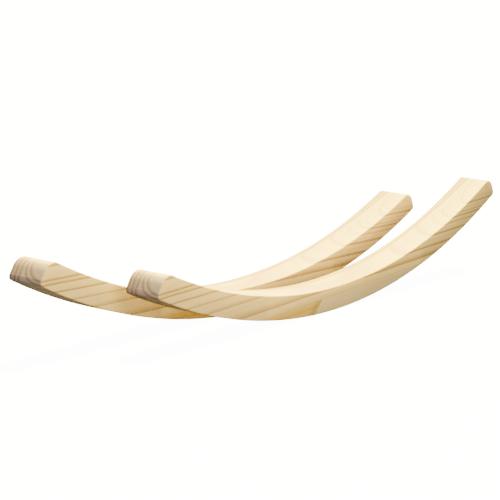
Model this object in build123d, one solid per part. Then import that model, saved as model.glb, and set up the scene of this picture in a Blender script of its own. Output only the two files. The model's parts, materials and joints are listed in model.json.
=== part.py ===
from build123d import *
import math
import os

# Two loose rocker runners of glued pine, lying side by side on their rolling faces.
# Each runner is sawn as an arc from an edge-glued board, so it is made of three staves:
# one long upper stave, and two short lower staves that meet in a sloping end joint.
# +X runs along the runners, +Y from the front runner to the rear one, +Z up from the floor.

# ---- Driving dimensions (millimetres and degrees) ----

# One runner
rolling_radius = 960.0       # radius of the convex face that rolls on the floor
runner_length = 772.0        # straight distance between the two lower end corners
runner_depth = 28.0          # between the concave and the convex face
runner_width = 40.0          # thickness of the glued board

# Shape of an end
end_rake = 9.0               # how far the end face leans out past a radial cut, in degrees
upper_end_round = 16.0       # rounding from the concave face into the end face
lower_end_round = 5.0        # rounding from the end face into the rolling face
edge_easing = 1.0            # arris taken off along every edge of the two flat sides

# How the board is glued
glue_line_height = 19.0      # of the edge joint above the lowest point of the rolling face
end_joint_offset = 60.0      # from the runner's middle to the end joint, at the glue line
end_joint_slope = 45.0       # slope of the end joint, in degrees from the floor

# How the pair lies
runner_spacing = 65.0        # between the two runners' middle planes
front_stagger = 62.0         # the front runner's rolling centre lies this far along +X
front_rock = 2.67            # the front runner is rocked this far, its +X end up, in degrees

# ---- Worked out ----

inner_radius = rolling_radius - runner_depth
half_angle = math.asin(runner_length / 2 / rolling_radius)
board_reach = runner_length + 2 * runner_depth
board_height = rolling_radius


def on_arc(radius, angle):
    """Point of a runner's outline, at an angle from its lowest point, with z up from the floor."""
    return (radius * math.sin(angle), rolling_radius - radius * math.cos(angle))


def end_corner_angle():
    """Angle of the upper end corner: the raked end face starts inside the lower corner."""
    setback = runner_depth * math.tan(math.radians(end_rake))
    return half_angle - setback / inner_radius


def runner_blank():
    """One runner as a single piece of board, lowest point at the origin, before it is split."""
    upper = end_corner_angle()
    rolling_face = ThreePointArc(
        on_arc(rolling_radius, -half_angle), on_arc(rolling_radius, 0), on_arc(rolling_radius, half_angle)
    )
    concave_face = ThreePointArc(
        on_arc(inner_radius, -upper), on_arc(inner_radius, 0), on_arc(inner_radius, upper)
    )
    far_end = Line(on_arc(rolling_radius, half_angle), on_arc(inner_radius, upper))
    near_end = Line(on_arc(rolling_radius, -half_angle), on_arc(inner_radius, -upper))
    outline = make_face(Curve() + [rolling_face, far_end, concave_face, near_end])
    outline = fillet(corners_at(outline, inner_radius, upper), upper_end_round)
    outline = fillet(corners_at(outline, rolling_radius, half_angle), lower_end_round)
    blank = extrude(Plane.XZ * outline, runner_width / 2, both=True)
    side_edges = blank.edges().filter_by(lies_on_side)
    return chamfer(side_edges, edge_easing)


def corners_at(outline, radius, angle):
    """The outline's two vertices at this radius and at this angle to the left and to the right."""
    corners = [on_arc(radius, -angle), on_arc(radius, angle)]
    return [
        vertex
        for vertex in outline.vertices()
        if any(math.dist((vertex.X, vertex.Y), corner) < edge_easing for corner in corners)
    ]


def lies_on_side(edge):
    """True for an edge that lies wholly on one of the two flat sides."""
    return all(abs(abs(vertex.Y) - runner_width / 2) < edge_easing / 2 for vertex in edge.vertices())


def board_piece(corners):
    """A block of board that is as wide as needed, from its outline in X and Z."""
    return extrude(Plane.XZ * make_face(Polyline(*corners, close=True)), runner_width, both=True)


def staves():
    """The runner's three staves, cut from the blank along the glue line and the end joint."""
    blank = runner_blank()
    joint_drop = glue_line_height + runner_depth
    joint_run = joint_drop / math.tan(math.radians(end_joint_slope))
    joint_top = (-end_joint_offset, glue_line_height)
    joint_foot = (-end_joint_offset - joint_run, glue_line_height - joint_drop)
    left, right = -board_reach, board_reach
    upper = board_piece(
        [(left, glue_line_height), (right, glue_line_height), (right, board_height), (left, board_height)]
    )
    lower_left = board_piece([joint_top, (left, glue_line_height), (left, joint_foot[1]), joint_foot])
    lower_right = board_piece([joint_top, joint_foot, (right, joint_foot[1]), (right, glue_line_height)])
    return {
        "upper_stave": (blank & upper).solid(),
        "lower_left_stave": (blank & lower_left).solid(),
        "lower_right_stave": (blank & lower_right).solid(),
    }


def rocked(shape, angle):
    """The shape turned about its arc's centre, so that it still touches the floor."""
    centre = Axis((0, 0, rolling_radius), (0, -1, 0))
    return shape.rotate(centre, angle)


# ---- The pair ----

runner = staves()
pieces = {}
for name, stave in runner.items():
    pieces[f"rear_runner_{name}"] = Pos(0, runner_spacing / 2, 0) * stave
    pieces[f"front_runner_{name}"] = Pos(front_stagger, -runner_spacing / 2, 0) * rocked(stave, front_rock)

# The origin is on the floor, under the middle of the pair.
lowest_x = min(piece.bounding_box().min.X for piece in pieces.values())
highest_x = max(piece.bounding_box().max.X for piece in pieces.values())
middle_x = (lowest_x + highest_x) / 2

os.makedirs("parts", exist_ok=True)
for name, piece in pieces.items():
    piece = Pos(-middle_x, 0, 0) * piece
    export_step(piece, f"parts/{name}.step")
    size = piece.bounding_box().size
    print(f"{name}: {piece.volume / 1000:.1f} cm3, {size.X:.1f} x {size.Y:.1f} x {size.Z:.1f} mm")

print("rolling centres at x", round(-middle_x, 3), round(front_stagger - middle_x, 3))
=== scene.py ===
# %% [markdown]
# # A pair of pine rocker runners
#
# Two curved wooden runners lie side by side on a pale floor. A seat, a cot or a board stands on
# runners like these and rocks. Each runner is sawn out of a glued pine board, so one long stave
# and two short ones show on its sides.
#
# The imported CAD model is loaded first. It says where everything is, and it is never moved. The
# pieces that show are modelled here with the tools that a person uses by hand, because the
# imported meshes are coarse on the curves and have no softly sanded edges.

# %% Load the frame
import json
import math

import bpy
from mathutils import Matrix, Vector


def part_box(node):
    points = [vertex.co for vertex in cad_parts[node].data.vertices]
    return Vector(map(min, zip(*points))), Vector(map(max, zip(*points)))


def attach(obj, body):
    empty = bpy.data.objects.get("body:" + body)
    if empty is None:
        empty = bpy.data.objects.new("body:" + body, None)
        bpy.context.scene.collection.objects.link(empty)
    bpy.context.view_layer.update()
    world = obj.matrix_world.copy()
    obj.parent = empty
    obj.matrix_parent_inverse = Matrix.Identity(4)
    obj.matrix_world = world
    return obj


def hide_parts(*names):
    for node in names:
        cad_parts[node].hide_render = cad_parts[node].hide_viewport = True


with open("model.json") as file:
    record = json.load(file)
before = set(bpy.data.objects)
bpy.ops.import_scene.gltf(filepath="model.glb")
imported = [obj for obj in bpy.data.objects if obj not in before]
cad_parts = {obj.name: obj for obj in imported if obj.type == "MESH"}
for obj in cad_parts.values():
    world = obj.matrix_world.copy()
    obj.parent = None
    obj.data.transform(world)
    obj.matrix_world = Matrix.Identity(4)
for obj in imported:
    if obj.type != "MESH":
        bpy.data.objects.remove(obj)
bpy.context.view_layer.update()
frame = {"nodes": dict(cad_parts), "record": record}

print("nodes:", sorted(frame["nodes"]))

# %% [markdown]
# ## What the frame says about a runner
#
# Most sizes below are read from the frame or worked out from it, so that the pieces land on the
# CAD model. The hinge's place is the centre of the front runner's arc. The rear runner stands
# upright, so its arc's centre is over the middle of its long stave, at the same height. The frame
# doesn't hold the slopes and roundings of the ends, the length between the lower end corners or
# how far the front runner is rocked, so these are stated here as in the design.

# %% Sizes and places, in metres
mm = 0.001
record = frame["record"]
mounts = {mount["name"]: mount for mount in record["mounts"]}
front_centre = Vector(record["behaviour"]["joints"][0]["pos_m"])
rear_low, rear_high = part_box("rear_runner_upper_stave")
rolling_radius = front_centre.z
rear_centre = Vector(
    ((rear_low.x + rear_high.x) / 2, (rear_low.y + rear_high.y) / 2, rolling_radius)
)
runner_depth = mounts["rear_runner_concave_face"]["pos_m"][2]
runner_width = rear_high.y - rear_low.y
inner_radius = rolling_radius - runner_depth
glue_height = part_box("rear_runner_lower_right_stave")[1].z
end_joint_offset = rear_centre.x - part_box("rear_runner_lower_left_stave")[1].x
runner_length = 772 * mm
half_angle = math.asin(runner_length / 2 / rolling_radius)
front_rock = math.radians(2.67)
end_rake = math.radians(9)
upper_end_round = 16 * mm
lower_end_round = 5 * mm
edge_easing = 1.2 * mm      # how far a rounded edge reaches; the design's flat one is 1 mm wide
end_joint_slope = math.radians(45)
print("radius", round(rolling_radius, 4), "depth", round(runner_depth, 4))
print("width", round(runner_width, 4))
print("glue line", round(glue_height, 4), "end joint", round(end_joint_offset, 4))

# %% [markdown]
# ## Camera
#
# The camera looks along the runners from their near end, a little from above and a little
# tilted, through a long lens, so the two arcs run away from the eye and barely shrink.

# %% Camera
camera_data = bpy.data.cameras.new("camera")
camera = bpy.data.objects.new("camera", camera_data)
bpy.context.scene.collection.objects.link(camera)
camera.location = (-1.7606, -1.0511, 0.4291)
camera.rotation_euler = (math.radians(79.857), math.radians(-3.571), math.radians(-57.288))
camera_data.lens = 130.05
camera_data.sensor_width = 36
bpy.context.scene.camera = camera
print("camera at", tuple(round(v, 3) for v in camera.location))

# %% [markdown]
# ## Colours and nodes
#
# A colour is easiest to choose as a hex value, as in a paint program, but shaders mix light, so
# they need linear numbers. One function turns the one into the other. A material is a tree of
# nodes, which could be wired by hand in the shader editor. Here one small function adds a node of
# any kind with its settings and links, so that each material below reads as a list of steps.

# %% Colours: a hex value in, a linear colour out
def linear(hex_colour):
    channels = [int(hex_colour[i:i + 2], 16) / 255 for i in (0, 2, 4)]
    return [c / 12.92 if c <= 0.04045 else ((c + 0.055) / 1.055) ** 2.4 for c in channels] + [1]


print("middle grey is", round(linear("808080")[0], 3), "in linear light")

# %% Nodes: one helper that adds a node with its settings and links
def add_node(tree, kind, settings=(), inputs=()):
    """Adds a node, sets its properties, then fills its inputs or links them to a socket or a node."""
    node = tree.nodes.new(kind)
    for key, value in dict(settings).items():
        setattr(node, key, value)
    for key, value in dict(inputs).items():
        if isinstance(value, bpy.types.Node):
            tree.links.new(value.outputs[0], node.inputs[key])
        elif isinstance(value, bpy.types.NodeSocket):
            tree.links.new(value, node.inputs[key])
        else:
            node.inputs[key].default_value = value
    return node


def new_material(name):
    material = bpy.data.materials.new(name)
    material.use_nodes = True
    material.node_tree.nodes.clear()
    return material, material.node_tree

# %% [markdown]
# ## Floor and light
#
# The runners stand on a plain pale floor in soft studio light. A broad yellowish light overhead,
# a little towards the far end, makes the concave faces much the brightest and leaves the near
# ends, which turn away from it, darker. A weaker one stands in front of the near end: the sides
# turn to it, and it fades along them. A dim bluish sky makes the shaded faces a little greyer.
#
# A white floor would send so much light back up that the undersides went pale. So the floor and the
# sky look white to the camera but give little light to the wood, as if the pair stood on a
# small sheet in a dark studio. Both are only a stage and aren't part of the object.

# %% Floor
floor_size = 60
seen_brightness = 14.0
bpy.ops.object.select_all(action="DESELECT")
bpy.ops.mesh.primitive_plane_add(size=floor_size, location=(0, 0, 0))
floor = bpy.context.object
floor.name = "floor"
floor_material, tree = new_material("matt pale floor")
sent_back = add_node(tree, "ShaderNodeBsdfDiffuse", inputs={"Color": linear("3A3A56")})
paper = add_node(tree, "ShaderNodeBsdfDiffuse", inputs={"Color": linear("B0B0B0")})
glow = add_node(tree, "ShaderNodeEmission", inputs={"Color": linear("FFFFFF"), "Strength": seen_brightness})
seen = add_node(tree, "ShaderNodeAddShader", inputs={0: paper, 1: glow})
path = add_node(tree, "ShaderNodeLightPath")
surface = add_node(tree, "ShaderNodeMixShader",
                   inputs={0: path.outputs["Is Camera Ray"], 1: sent_back, 2: seen})
add_node(tree, "ShaderNodeOutputMaterial", inputs={"Surface": surface})
floor.data.materials.append(floor_material)
print("floor", floor_size, "m across")

# %% Sky and lights
sky_strength = 0.40
world = bpy.data.worlds.new("studio")
world.use_nodes = True
bpy.context.scene.world = world
tree = world.node_tree
tree.nodes.clear()
dim_sky = add_node(tree, "ShaderNodeBackground",
                   inputs={"Color": linear("C4CEFF"), "Strength": sky_strength})
pale_wall = add_node(tree, "ShaderNodeBackground",
                     inputs={"Color": linear("FFFFFF"), "Strength": seen_brightness})
path = add_node(tree, "ShaderNodeLightPath")
sky = add_node(tree, "ShaderNodeMixShader",
               inputs={0: path.outputs["Is Camera Ray"], 1: dim_sky, 2: pale_wall})
add_node(tree, "ShaderNodeOutputWorld", inputs={"Surface": sky})


def add_light(name, kind, place, aim, power, colour, **settings):
    data = bpy.data.lights.new(name, kind)
    data.energy = power
    data.color = linear(colour)[:3]
    for key, value in settings.items():
        setattr(data, key, value)
    lamp = bpy.data.objects.new(name, data)
    lamp.location = place
    lamp.rotation_euler = (Vector(aim) - Vector(place)).to_track_quat("-Z", "Y").to_euler()
    bpy.context.scene.collection.objects.link(lamp)
    print("light", name, "power", power)


add_light("overhead", "SUN", place=(1.35, 0.1, 3.0), aim=(0, 0, 0), power=38, colour="FFF078",
          angle=math.radians(18))
add_light("near_end", "AREA", place=(-0.91, -0.96, 0.45), aim=(-0.2, 0, 0.05), power=30,
          colour="FFF0AA", shape="DISK", size=0.9)

# %% [markdown]
# ## The runner blank
#
# A real runner is band-sawn out of a flat board along two arcs that share a centre, and its ends
# are rounded over. It could be drawn as a closed outline and extruded, but a spin follows how
# the shape is described: one rectangular section swept about the centre of the arcs. The spin
# takes one long step at each end, which leaves the end roundings a clean face to be cut in, and
# many short steps between them, which keep the curves smooth.

# %% Selecting by place
def deselect():
    if bpy.context.object and bpy.context.object.mode == "EDIT":
        bpy.ops.object.mode_set(mode="OBJECT")
    bpy.ops.object.select_all(action="DESELECT")


def pick(piece, element, test):
    """Selects the piece's vertices, edges or faces that pass the test, and leaves it in edit mode."""
    bpy.ops.object.mode_set(mode="EDIT")
    bpy.ops.mesh.select_mode(type=element)
    bpy.ops.mesh.select_all(action="DESELECT")
    bpy.ops.object.mode_set(mode="OBJECT")
    mesh = piece.data
    items = {"VERT": mesh.vertices, "EDGE": mesh.edges, "FACE": mesh.polygons}[element]
    count = 0
    for item in items:
        item.select = bool(test(item))
        count += item.select
    bpy.ops.object.mode_set(mode="EDIT")
    return count


def angle_of(point):
    """How far round the arc a point lies from the lowest point, about an arc centre at the origin."""
    return math.atan2(point.x, -point.z)


def radius_of(point):
    return math.hypot(point.x, point.z)


near = 1e-5
print("places are matched to within", round(near / mm, 3), "mm")

# %% Spin the section into an arc
middle_radius = (rolling_radius + inner_radius) / 2
end_step = 24 * mm / rolling_radius
middle_steps = 96

deselect()
bpy.ops.mesh.primitive_plane_add(
    size=1,
    location=(-middle_radius * math.sin(half_angle), 0, -middle_radius * math.cos(half_angle)),
    rotation=(0, math.pi / 2 + half_angle, 0),
)
blank = bpy.context.object
blank.name = "runner_blank"
blank.scale = (runner_depth, runner_width, 1)
bpy.ops.object.transform_apply(location=True, rotation=True, scale=True)
bpy.ops.object.mode_set(mode="EDIT")
bpy.ops.mesh.select_all(action="SELECT")
for steps, sweep in ((1, end_step), (middle_steps, 2 * (half_angle - end_step)), (1, end_step)):
    bpy.ops.mesh.spin(steps=steps, angle=sweep, center=(0, 0, 0), axis=(0, 1, 0))
bpy.ops.mesh.select_all(action="SELECT")
bpy.ops.mesh.remove_doubles(threshold=near)
bpy.ops.mesh.normals_make_consistent(inside=False)
bpy.ops.object.mode_set(mode="OBJECT")
print("spun:", len(blank.data.polygons), "faces, angles",
      round(math.degrees(min(angle_of(v.co) for v in blank.data.vertices)), 3),
      round(math.degrees(max(angle_of(v.co) for v in blank.data.vertices)), 3))

# %% [markdown]
# ## Raked and rounded ends
#
# The ends of a runner aren't sawn square to the arc: they lean back by a few degrees, and their
# corners are rounded so that nothing catches. Each end could be modelled as a curve, but it is
# simpler to slide its upper corner back in the direction that the arc has there, and then bevel
# both corners. A bevel's offset is measured along the faces, so it is worked out from the radius
# and the angle between the two faces.

# %% Rake and round the ends
setback = runner_depth * math.tan(end_rake)
for side in (-1, 1):
    end_angle = side * half_angle
    pick(blank, "VERT",
         lambda v: abs(angle_of(v.co) - end_angle) < near and radius_of(v.co) < middle_radius)
    along = Vector((math.cos(end_angle), 0, math.sin(end_angle)))
    bpy.ops.transform.translate(value=along * (-side * setback))
bpy.ops.object.mode_set(mode="OBJECT")


def end_edges(upper):
    """The edges across the runner at its two ends, on the concave face or on the rolling face."""
    def test(edge):
        ends = [blank.data.vertices[i].co for i in edge.vertices]
        at_end = all(abs(angle_of(p)) > half_angle - end_step / 2 for p in ends)
        on_face = all((radius_of(p) < middle_radius) == upper for p in ends)
        return at_end and on_face and abs(ends[0].y - ends[1].y) > runner_width / 2
    return test


circle_arc = 0.5        # the bevel profile that is part of a circle
# Whether it is the upper corner, how far the bevel cuts back from it, and its number of segments.
corner_bevels = (
    (True, upper_end_round / math.tan(math.pi / 4 + end_rake / 2), 12),
    (False, lower_end_round / math.tan(math.pi / 4 - end_rake / 2), 8),
)
for upper, cut_back, segments in corner_bevels:
    found = pick(blank, "EDGE", end_edges(upper))
    bpy.ops.mesh.bevel(offset=cut_back, offset_type="OFFSET", segments=segments, profile=circle_arc,
                       affect="EDGES")
    bpy.ops.object.mode_set(mode="OBJECT")
    print("rounded", found, "end edges, cut back", round(cut_back / mm, 2), "mm")

# %% [markdown]
# ## Sanded edges
#
# Sandpaper takes the sharp arris off every edge of the two flat sides. A bevel modifier would
# round every edge that is sharp enough, also those between staves once they are cut. So the
# edges are picked before the cut, as those where a flat side meets the curved surface round it.

# %% Sand the long edges
edge_segments = 4
side_edges = set()
for polygon in blank.data.polygons:
    if abs(polygon.normal.y) > 0.9:
        side_edges.update(polygon.edge_keys)
curved_edges = set()
for polygon in blank.data.polygons:
    if abs(polygon.normal.y) < 0.1:
        curved_edges.update(polygon.edge_keys)
arrises = side_edges & curved_edges
pick(blank, "EDGE", lambda e: e.key in arrises)
bpy.ops.mesh.bevel(offset=edge_easing, offset_type="OFFSET", segments=edge_segments, profile=circle_arc,
                   affect="EDGES")
bpy.ops.mesh.select_all(action="SELECT")
bpy.ops.mesh.normals_make_consistent(inside=False)
bpy.ops.object.mode_set(mode="OBJECT")
print("sanded", len(arrises), "edges;", len(blank.data.polygons), "faces")

# %% [markdown]
# ## Three staves from one blank
#
# The board was glued before it was sawn, so the staves share one outer surface. Cutting copies of
# the finished blank with bisect keeps that surface unbroken over the joints, which modelling
# each stave by itself wouldn't.

# %% Cut the staves and lay the pair
glue_point = Vector((0, 0, glue_height - rolling_radius))
joint_point = glue_point + Vector((-end_joint_offset, 0, 0))
joint_normal = Vector((math.sin(end_joint_slope), 0, -math.cos(end_joint_slope)))
crease_angle = math.radians(30)     # sharper edges than this stay sharp to the eye
up = Vector((0, 0, 1))
stave_cuts = {
    "upper_stave": [(glue_point, up)],
    "lower_left_stave": [(glue_point, -up), (joint_point, -joint_normal)],
    "lower_right_stave": [(glue_point, -up), (joint_point, joint_normal)],
}
placing = {
    "rear_runner": (rear_centre, 0),
    "front_runner": (front_centre, front_rock),
}


def cut_stave(name, cuts, centre, rock):
    """A copy of the blank, keeping what lies on the side that each cut's normal points to."""
    deselect()
    piece = blank.copy()
    piece.data = blank.data.copy()
    piece.name = piece.data.name = name
    bpy.context.scene.collection.objects.link(piece)
    bpy.context.view_layer.objects.active = piece
    piece.select_set(True)
    bpy.ops.object.mode_set(mode="EDIT")
    for point, keep in cuts:
        bpy.ops.mesh.select_all(action="SELECT")
        bpy.ops.mesh.bisect(plane_co=point, plane_no=keep, use_fill=True, clear_inner=True)
    bpy.ops.mesh.select_all(action="SELECT")
    bpy.ops.mesh.normals_make_consistent(inside=False)
    bpy.ops.object.mode_set(mode="OBJECT")
    piece.location = centre
    piece.rotation_euler = (0, -rock, 0)
    bpy.ops.object.transform_apply(location=True, rotation=True, scale=True)
    bpy.ops.object.shade_smooth_by_angle(angle=crease_angle)
    return piece


staves = {}
for runner, (centre, rock) in placing.items():
    for stave, cuts in stave_cuts.items():
        node = f"{runner}_{stave}"
        piece = cut_stave(node + "_wood", cuts, centre, rock)
        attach(piece, runner)
        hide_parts(node)
        staves[runner, stave] = piece
        print(piece.name, len(piece.data.polygons), "faces", [round(v / mm, 1) for v in piece.dimensions])
bpy.data.objects.remove(blank)

# %% [markdown]
# ## Pine
#
# The runners are bare pine: sawn, planed on the flat sides and sanded, with no oil or lacquer.
# That gives a dull, slightly silky surface with fine fibres. Each year's ring starts pale and
# soft, darkens to an amber line and ends sharply. A picture of wood could be wrapped round each
# piece, but then the lines would break at every edge. Here the rings are worked out in three
# dimensions in the board's own frame, so each face shows its own true cut through them.

# %% Where a point lies in its own runner
def board_place(tree, centre, rock):
    """The point in mm with its height over the floor as z, and the same three numbers apart."""
    where = add_node(tree, "ShaderNodeTexCoord")
    board = add_node(tree, "ShaderNodeMapping", {"vector_type": "TEXTURE"},
                     {"Vector": where.outputs["Object"], "Location": centre, "Rotation": (0, -rock, 0)})
    point = add_node(tree, "ShaderNodeVectorMath", {"operation": "MULTIPLY_ADD"},
                     {0: board, 1: (1 / mm, 1 / mm, 1 / mm), 2: (0, 0, rolling_radius / mm)})
    x, y, height = add_node(tree, "ShaderNodeSeparateXYZ", inputs={0: point}).outputs
    return point, x, y, height


print("the wood is worked out about arc centres at", [round(c.x, 4) for c, _ in placing.values()])

# %% [markdown]
# ## Uneven growth
#
# No two years or fibres of a tree are alike, and perfectly regular lines look printed. Marks could
# be painted one by one, but noise that is drawn out along the board gives the same long, thin
# marks that growth leaves. Each noise below has a length and a width in mm, and how much finer
# detail it carries. Real fibres are about 0.03 mm wide, too fine to show, so they are drawn
# 0.8 mm wide.

# %% The uneven growth of the wood
growth = {
    "bend": (330, 60, 1.0),
    "ripple": (55, 11, 1.0),
    "fibre": (50, 0.8, 3.0),
    "streak": (125, 3.6, 3.0),
    "cloud": (83, 33, 2.0),
}
noise_roughness = 0.55
between_noises = 7.3    # how far apart the noises lie in their fourth dimension, so none repeats


def uneven_growth(tree, point, seed):
    """One noise of each kind, as a dictionary of nodes."""
    noises = {}
    for number, (name, (length, width, detail)) in enumerate(growth.items()):
        drawn_out = add_node(tree, "ShaderNodeMapping",
                             inputs={"Vector": point, "Scale": (1 / length, 1 / width, 1 / width)})
        noises[name] = add_node(tree, "ShaderNodeTexNoise", {"noise_dimensions": "4D"},
                                {"Vector": drawn_out, "W": seed + between_noises * number, "Scale": 1.0,
                                 "Detail": detail, "Roughness": noise_roughness})
    return noises


print("growth patterns:", ", ".join(growth))

# %% [markdown]
# ## Year rings
#
# A tree adds a ring each year, and a board shows them as lines where it cuts through them. A wave
# texture would make lines at once, but all as wide and as dark as each other. Here a colour ramp
# holds each ring at its own distance from the heart, so wide and narrow, dark and faint years
# follow each other. The heart lies outside each stave, above it and to one side. Round it the
# rings are bent like squares with very round corners, and in the rear half of the board they run
# almost straight.

# %% The rings of this tree
# How far each ring ends from the heart, in mm, and how dark it is in the near and far half.
year_rings = [
    (22, 0.75, 0.30), (30, 0.30, 0.40), (35, 0.95, 0.90), (39.5, 1.00, 0.45), (44, 0.15, 0.70),
    (48, 0.95, 1.00), (54, 0.10, 0.70), (58, 0.80, 0.30), (63, 0.10, 0.95), (70, 0.75, 0.40),
    (76, 0.15, 0.95), (87, 0.80, 0.90), (103, 0.60, 0.70),
]
last_ring = 130.0
# The straighter rings behind, as distances from the middle of the board's thickness.
rear_rings = [(3, 0.0), (8, 0.9), (13, 1.0), (18, 0.9)]
rear_reach = 30.0
ring_end = 0.9          # a ring fades out over this many mm
bend_reach = 3.0        # how far, in mm, the slow and the quick unevenness push the rings
ripple_reach = 1.2


def ring_stops(ramp, rings, reach):
    """Makes each ring rise from the one before it to its own darkness, and end sharply."""
    stops = ramp.color_ramp.elements
    for place, *darkness in rings:
        near_dark, far_dark = darkness[0], darkness[-1]
        stops.new(place / reach).color = (near_dark, far_dark, 0, 1)
        stops.new((place + ring_end) / reach).color = (0, 0, 0, 1)
    stops[0].color = stops[len(stops) - 1].color = (0, 0, 0, 1)


print(len(year_rings), "rings round the heart,", len(rear_rings) - 1, "behind it")

# %% Rings about the heart
smooth = {"interpolation_type": "SMOOTHSTEP"}
taper = 0.006           # a trunk is thinner at one end: the rings drop by this for each mm along
squareness = 4.0        # 2 would make the rings circles
least = 0.01            # keeps the numbers that are raised to a power above nought
near_until, far_from = -60.0, 120.0
beside_from, beside_full = -8.0, 2.0
rear_from, rear_full = 3.0, 7.0


def heart_offsets(tree, x, y, height, heart):
    """How far a point lies across from the heart and how far down from it."""
    tapered = add_node(tree, "ShaderNodeMath", {"operation": "MULTIPLY_ADD"}, {0: x, 1: taper, 2: height})
    sideways = add_node(tree, "ShaderNodeMath", {"operation": "SUBTRACT"}, {0: y, 1: heart[0]})
    across = add_node(tree, "ShaderNodeMath", {"operation": "MAXIMUM"}, {0: sideways, 1: least})
    below = add_node(tree, "ShaderNodeMath", {"operation": "SUBTRACT"}, {0: heart[1], 1: tapered})
    down = add_node(tree, "ShaderNodeMath", {"operation": "MAXIMUM"}, {0: below, 1: least})
    return across, down


def ring_distance(tree, across, down, noises):
    """The distance from the heart, squarer than round, pushed about by the uneven growth."""
    across_power = add_node(tree, "ShaderNodeMath", {"operation": "POWER"}, {0: across, 1: squareness})
    down_power = add_node(tree, "ShaderNodeMath", {"operation": "POWER"}, {0: down, 1: squareness})
    both = add_node(tree, "ShaderNodeMath", {"operation": "ADD"}, {0: across_power, 1: down_power})
    distance = add_node(tree, "ShaderNodeMath", {"operation": "POWER"}, {0: both, 1: 1 / squareness})
    bent = add_node(tree, "ShaderNodeMath", {"operation": "MULTIPLY_ADD"},
                    {0: noises["bend"], 1: bend_reach, 2: distance})
    return add_node(tree, "ShaderNodeMath", {"operation": "MULTIPLY_ADD"},
                    {0: noises["ripple"], 1: ripple_reach, 2: bent})


def rings_about_heart(tree, x, y, height, noises, heart):
    """How dark the rings round the heart make a point, from 0 to 1."""
    across, down = heart_offsets(tree, x, y, height, heart)
    distance = ring_distance(tree, across, down, noises)
    shift = (bend_reach + ripple_reach) / 2
    share = add_node(tree, "ShaderNodeMapRange",
                     inputs={0: distance, 1: shift, 2: shift + last_ring, 3: 0.0, 4: 1.0})
    ramp = add_node(tree, "ShaderNodeValToRGB", inputs={0: share})
    ring_stops(ramp, year_rings, last_ring)
    near_half, far_half, _ = add_node(tree, "ShaderNodeSeparateColor", inputs={0: ramp}).outputs
    far_share = add_node(tree, "ShaderNodeMapRange", smooth,
                         {0: x, 1: near_until, 2: far_from, 3: 0.0, 4: 1.0})
    darkness = add_node(tree, "ShaderNodeMix", inputs={0: far_share, 2: near_half, 3: far_half})

    # Beside the heart, in the rear half, the straight rings take over.
    beside = add_node(tree, "ShaderNodeMath", {"operation": "SUBTRACT"}, {0: across, 1: down})
    is_beside = add_node(tree, "ShaderNodeMapRange", smooth,
                         {0: beside, 1: beside_from, 2: beside_full, 3: 0.0, 4: 1.0})
    stays = add_node(tree, "ShaderNodeMapRange", smooth, {0: y, 1: rear_from, 2: rear_full, 3: 1.0, 4: 0.0})
    front_share = add_node(tree, "ShaderNodeMix", inputs={0: is_beside, 2: 1.0, 3: stays})
    return add_node(tree, "ShaderNodeMath", {"operation": "MULTIPLY"}, {0: darkness, 1: front_share})


print("rings drop", round(taper * runner_length / mm, 1), "mm along the runner")

# %% Straighter rings behind the heart
trunk_bow = 14.0        # how far, in mm, a bowed trunk carries the rings out at the runner's middle
straight_above = 78.0   # the rings are straight above this height in mm, and curve below it
curve = 0.0035


def rings_behind_heart(tree, x, y, height, noises):
    """The rings in the rear half: bowed as the trunk was, straight at the top, curving low down."""
    squared = add_node(tree, "ShaderNodeMath", {"operation": "MULTIPLY"}, {0: x, 1: x})
    half_length = runner_length / 2 / mm
    bowed = add_node(tree, "ShaderNodeMath", {"operation": "MULTIPLY_ADD"},
                     {0: squared, 1: trunk_bow / half_length ** 2, 2: y})
    rippled = add_node(tree, "ShaderNodeMath", {"operation": "MULTIPLY_ADD"},
                       {0: noises["ripple"], 1: ripple_reach, 2: bowed})
    below = add_node(tree, "ShaderNodeMath", {"operation": "SUBTRACT"}, {0: straight_above, 1: height})
    depth = add_node(tree, "ShaderNodeMath", {"operation": "MAXIMUM"}, {0: below, 1: 0.0})
    deeper = add_node(tree, "ShaderNodeMath", {"operation": "MULTIPLY"}, {0: depth, 1: depth})
    curved = add_node(tree, "ShaderNodeMath", {"operation": "MULTIPLY_ADD"},
                      {0: deeper, 1: curve, 2: rippled})
    start = trunk_bow + ripple_reach / 2
    share = add_node(tree, "ShaderNodeMapRange",
                     inputs={0: curved, 1: start, 2: start + rear_reach, 3: 0.0, 4: 1.0})
    ramp = add_node(tree, "ShaderNodeValToRGB", inputs={0: share})
    ring_stops(ramp, rear_rings, rear_reach)
    return add_node(tree, "ShaderNodeSeparateColor", inputs={0: ramp})


print("at the floor the rear rings curve by", round(curve * straight_above ** 2, 1), "mm")

# %% [markdown]
# ## Glue lines
#
# Glue that is pressed out between two staves leaves a thin, slightly darker line. It could be a
# strip of its own, but it has next to no thickness, so it is a tone in the wood: each point asks
# how far it is from the stave's glued faces. A real line is about 0.1 mm thick. It is drawn 0.5 mm
# thick, to show.

# %% Glue lines
glue_half = 0.25


def distance_to_glue(tree, x, height, has_end_joint):
    """How far a point is from the stave's nearest glued face, and how far past the end joint."""
    over_glue = add_node(tree, "ShaderNodeMath", {"operation": "SUBTRACT"},
                         {0: height, 1: glue_height / mm})
    flat = add_node(tree, "ShaderNodeMath", {"operation": "ABSOLUTE"}, {0: over_glue})
    along = add_node(tree, "ShaderNodeMath", {"operation": "ADD"}, {0: x, 1: end_joint_offset / mm})
    lean = add_node(tree, "ShaderNodeMath", {"operation": "MULTIPLY"},
                    {0: over_glue, 1: -math.cos(end_joint_slope)})
    past_joint = add_node(tree, "ShaderNodeMath", {"operation": "MULTIPLY_ADD"},
                          {0: along, 1: math.sin(end_joint_slope), 2: lean})
    sloping = add_node(tree, "ShaderNodeMath", {"operation": "ABSOLUTE"}, {0: past_joint})
    nearest = add_node(tree, "ShaderNodeMath", {"operation": "MINIMUM"}, {0: flat, 1: sloping})
    return (nearest if has_end_joint else flat), past_joint


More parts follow.
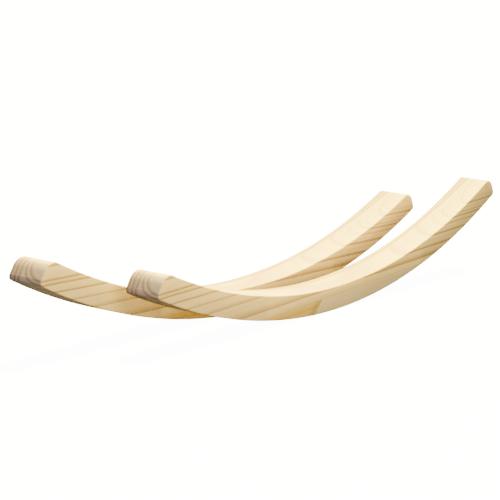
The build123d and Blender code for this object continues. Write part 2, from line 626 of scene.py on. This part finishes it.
print("glue lines are drawn", 2 * glue_half, "mm thick")

# %% [markdown]
# ## Planed pine
#
# The bare wood of a stave is put together from the patterns above: the rings give it its lines,
# the cut ends are greyer, and fibres, streaks and clouds make it uneven. Six materials could be
# made by hand, but one function with a few arguments keeps them alike where the real staves are
# alike, in how they were planed and sanded, and different where each came from its own tree.

# %% How dark the rings are on each face
up_from, up_full, up_share = 0.78, 0.92, 0.6
rear_face_from, rear_face_full, rear_share = 0.6, 0.9, 0.42
rear_width = 0.65       # under 1 widens the straight rings
line_sharpness = 1.8    # over 1 narrows a ring to its dark line
blush = 0.22            # how strongly the wood before the line takes on its colour


def ring_line(tree, place, noises, heart, normal_y, normal_z):
    """The narrow dark line of each ring, and the line with its blush."""
    x, y, height = place
    # A face that lies almost along a set of rings shows them wide and faint: an upward face those
    # round the heart, and a rear face the straight ones behind it.
    up_fading = add_node(tree, "ShaderNodeMapRange", smooth,
                         {0: normal_z, 1: up_from, 2: up_full, 3: 1.0, 4: up_share})
    rear_fading = add_node(tree, "ShaderNodeMapRange", smooth,
                           {0: normal_y, 1: rear_face_from, 2: rear_face_full, 3: 1.0, 4: rear_share})
    about = rings_about_heart(tree, x, y, height, noises, heart)
    about_faded = add_node(tree, "ShaderNodeMath", {"operation": "MULTIPLY"}, {0: about, 1: up_fading})
    behind = rings_behind_heart(tree, x, y, height, noises)
    widened = add_node(tree, "ShaderNodeMath", {"operation": "POWER"}, {0: behind, 1: rear_width})
    behind_faded = add_node(tree, "ShaderNodeMath", {"operation": "MULTIPLY"},
                            {0: widened, 1: rear_fading})
    rings = add_node(tree, "ShaderNodeMath", {"operation": "MAXIMUM"}, {0: about_faded, 1: behind_faded})
    line = add_node(tree, "ShaderNodeMath", {"operation": "POWER"}, {0: rings, 1: line_sharpness})
    blushed = add_node(tree, "ShaderNodeMath", {"operation": "MULTIPLY_ADD"},
                       {0: rings, 1: blush, 2: line})
    return line, blushed


print("the rings round the heart keep", up_share, "of their darkness on upward faces")
print("the straight ones keep", rear_share, "of it on rear faces")

# %% Long grain and end grain
# Cut fibres take up dirt and light, so end grain is greyer and darker. It shows wherever a face
# looks out past its own end: over the top rounding, down the end, and more and more along the
# rolling face towards the end, because that face cuts across the straight fibres.
outward_from, outward_full = 0.1, 0.55


def grain_colour(tree, x, normal_x, tone, early, late, end_early, end_late):
    """The wood's colour: early to late wood by tone, and long grain to end grain by the face."""
    end_side = add_node(tree, "ShaderNodeMath", {"operation": "SIGN"}, {0: x})
    outward = add_node(tree, "ShaderNodeMath", {"operation": "MULTIPLY"}, {0: normal_x, 1: end_side})
    end_share = add_node(tree, "ShaderNodeMapRange", smooth,
                         {0: outward, 1: outward_from, 2: outward_full, 3: 0.0, 4: 1.0})
    long_grain = add_node(tree, "ShaderNodeMix", {"data_type": "RGBA"},
                          {0: tone, 6: linear(early), 7: linear(late)})
    end_grain = add_node(tree, "ShaderNodeMix", {"data_type": "RGBA"},
                         {0: tone, 6: linear(end_early), 7: linear(end_late)})
    return add_node(tree, "ShaderNodeMix", {"data_type": "RGBA"},
                    {0: end_share, 6: long_grain.outputs[2], 7: end_grain.outputs[2]})


print("end grain shows on faces that look out by more than",
      round(math.degrees(math.asin(outward_from))), "degrees")

# %% Uneven shade and glue
fibre_depth, streak_depth = 0.16, 0.30
glue_tone = 0.72
strip_from, strip_full = -13.0, -7.0    # in mm past the end joint, so minus is before it


def uneven_shade(tree, x, height, noises, mottle, has_end_joint, strip):
    """One number that lightens or darkens the wood a little about its own colour."""
    shade = 1.0
    for name, depth in (("fibre", fibre_depth), ("streak", streak_depth), ("cloud", mottle)):
        band = add_node(tree, "ShaderNodeMath", {"operation": "MULTIPLY_ADD"},
                        {0: noises[name], 1: depth, 2: 1 - depth / 2})
        shade = add_node(tree, "ShaderNodeMath", {"operation": "MULTIPLY"}, {0: band, 1: shade})
    to_glue, past_joint = distance_to_glue(tree, x, height, has_end_joint)
    glued = add_node(tree, "ShaderNodeMapRange", smooth,
                     {0: to_glue, 1: glue_half * 0.5, 2: glue_half * 1.5, 3: glue_tone, 4: 1.0})
    shade = add_node(tree, "ShaderNodeMath", {"operation": "MULTIPLY"}, {0: shade, 1: glued})
    if strip:
        stripe = add_node(tree, "ShaderNodeMapRange", smooth,
                          {0: past_joint, 1: strip_from, 2: strip_full, 3: 1.0, 4: 1 - strip})
        shade = add_node(tree, "ShaderNodeMath", {"operation": "MULTIPLY"}, {0: shade, 1: stripe})
    return shade


print("a glue line is", glue_tone, "as light as the wood")

# %% Planed pine
# Bare sanded wood is dull with a slight sheen, and typical wood has an IOR of about 1.5.
wood_ior = 1.5
roughness_low, roughness_range = 0.50, 0.16
relief_depth, relief_strength = 0.3 * mm, 0.25
fibre_relief = 0.5


def planed_pine(name, centre, rock, early, late, end_early, end_late, heart, seed, ring_depth,
                mottle, has_end_joint, strip):
    """Bare pine for one stave; strip is how much darker it turns just before the end joint."""
    material, tree = new_material(name)
    point, x, y, height = board_place(tree, centre, rock)
    noises = uneven_growth(tree, point, seed)
    normal = add_node(tree, "ShaderNodeTexCoord").outputs["Normal"]
    normal_x, normal_y, normal_z = add_node(tree, "ShaderNodeSeparateXYZ", inputs={0: normal}).outputs
    line, blushed = ring_line(tree, (x, y, height), noises, heart, normal_y, normal_z)
    tone = add_node(tree, "ShaderNodeMath", {"operation": "MULTIPLY"}, {0: blushed, 1: ring_depth})
    colour = grain_colour(tree, x, normal_x, tone, early, late, end_early, end_late)
    shade = uneven_shade(tree, x, height, noises, mottle, has_end_joint, strip)
    grey = add_node(tree, "ShaderNodeCombineXYZ", inputs={0: shade, 1: shade, 2: shade})
    shaded = add_node(tree, "ShaderNodeMix", {"data_type": "RGBA", "blend_type": "MULTIPLY"},
                      {0: 1.0, 6: colour.outputs[2], 7: grey})

    # Sanding wears the soft early wood a little below the hard ring lines.
    relief = add_node(tree, "ShaderNodeMath", {"operation": "MULTIPLY_ADD"},
                      {0: noises["fibre"], 1: fibre_relief, 2: line})
    bump = add_node(tree, "ShaderNodeBump",
                    inputs={"Height": relief, "Strength": relief_strength, "Distance": relief_depth})
    rough = add_node(tree, "ShaderNodeMath", {"operation": "MULTIPLY_ADD"},
                     {0: noises["fibre"], 1: roughness_range, 2: roughness_low})
    surface = add_node(tree, "ShaderNodeBsdfPrincipled",
                       inputs={"Base Color": shaded.outputs[2], "Roughness": rough, "Normal": bump,
                               "IOR": wood_ior})
    add_node(tree, "ShaderNodeOutputMaterial", inputs={"Surface": surface})
    return material


print("roughness from", roughness_low, "to", roughness_low + roughness_range)

# %% [markdown]
# ## The six staves' wood
#
# Glued boards are made up of strips from different trees. The long upper stave has the clearest
# rings, the short left one is golden and the short right one pale and even. Both runners were
# sawn from like boards, so they share these three finishes, each laid in its own runner's frame.

# %% Give each stave its wood
end_colours = {"end_early": "96888F", "end_late": "7A6263"}
finishes = {
    "upper_stave": {
        "early": "EFD092", "late": "AE8B50", "heart": (-35, 115), "seed": 1.0,
        "ring_depth": 1.15, "mottle": 0.16, "has_end_joint": False, "strip": 0,
    },
    "lower_left_stave": {
        "early": "E2B758", "late": "A8854A", "heart": (-35, 60), "seed": 31.0,
        "ring_depth": 0.35, "mottle": 0.16, "has_end_joint": True, "strip": 0.25,
    },
    "lower_right_stave": {
        "early": "E4CB9A", "late": "B59A66", "heart": (30, 90), "seed": 61.0,
        "ring_depth": 0.2, "mottle": 0.24, "has_end_joint": True, "strip": 0,
    },
}
for (runner, stave), piece in staves.items():
    centre, rock = placing[runner]
    wood = planed_pine(f"planed pine, {runner} {stave}", centre, rock, **finishes[stave], **end_colours)
    piece.data.materials.clear()
    piece.data.materials.append(wood)
    print(piece.name, "has", wood.name)
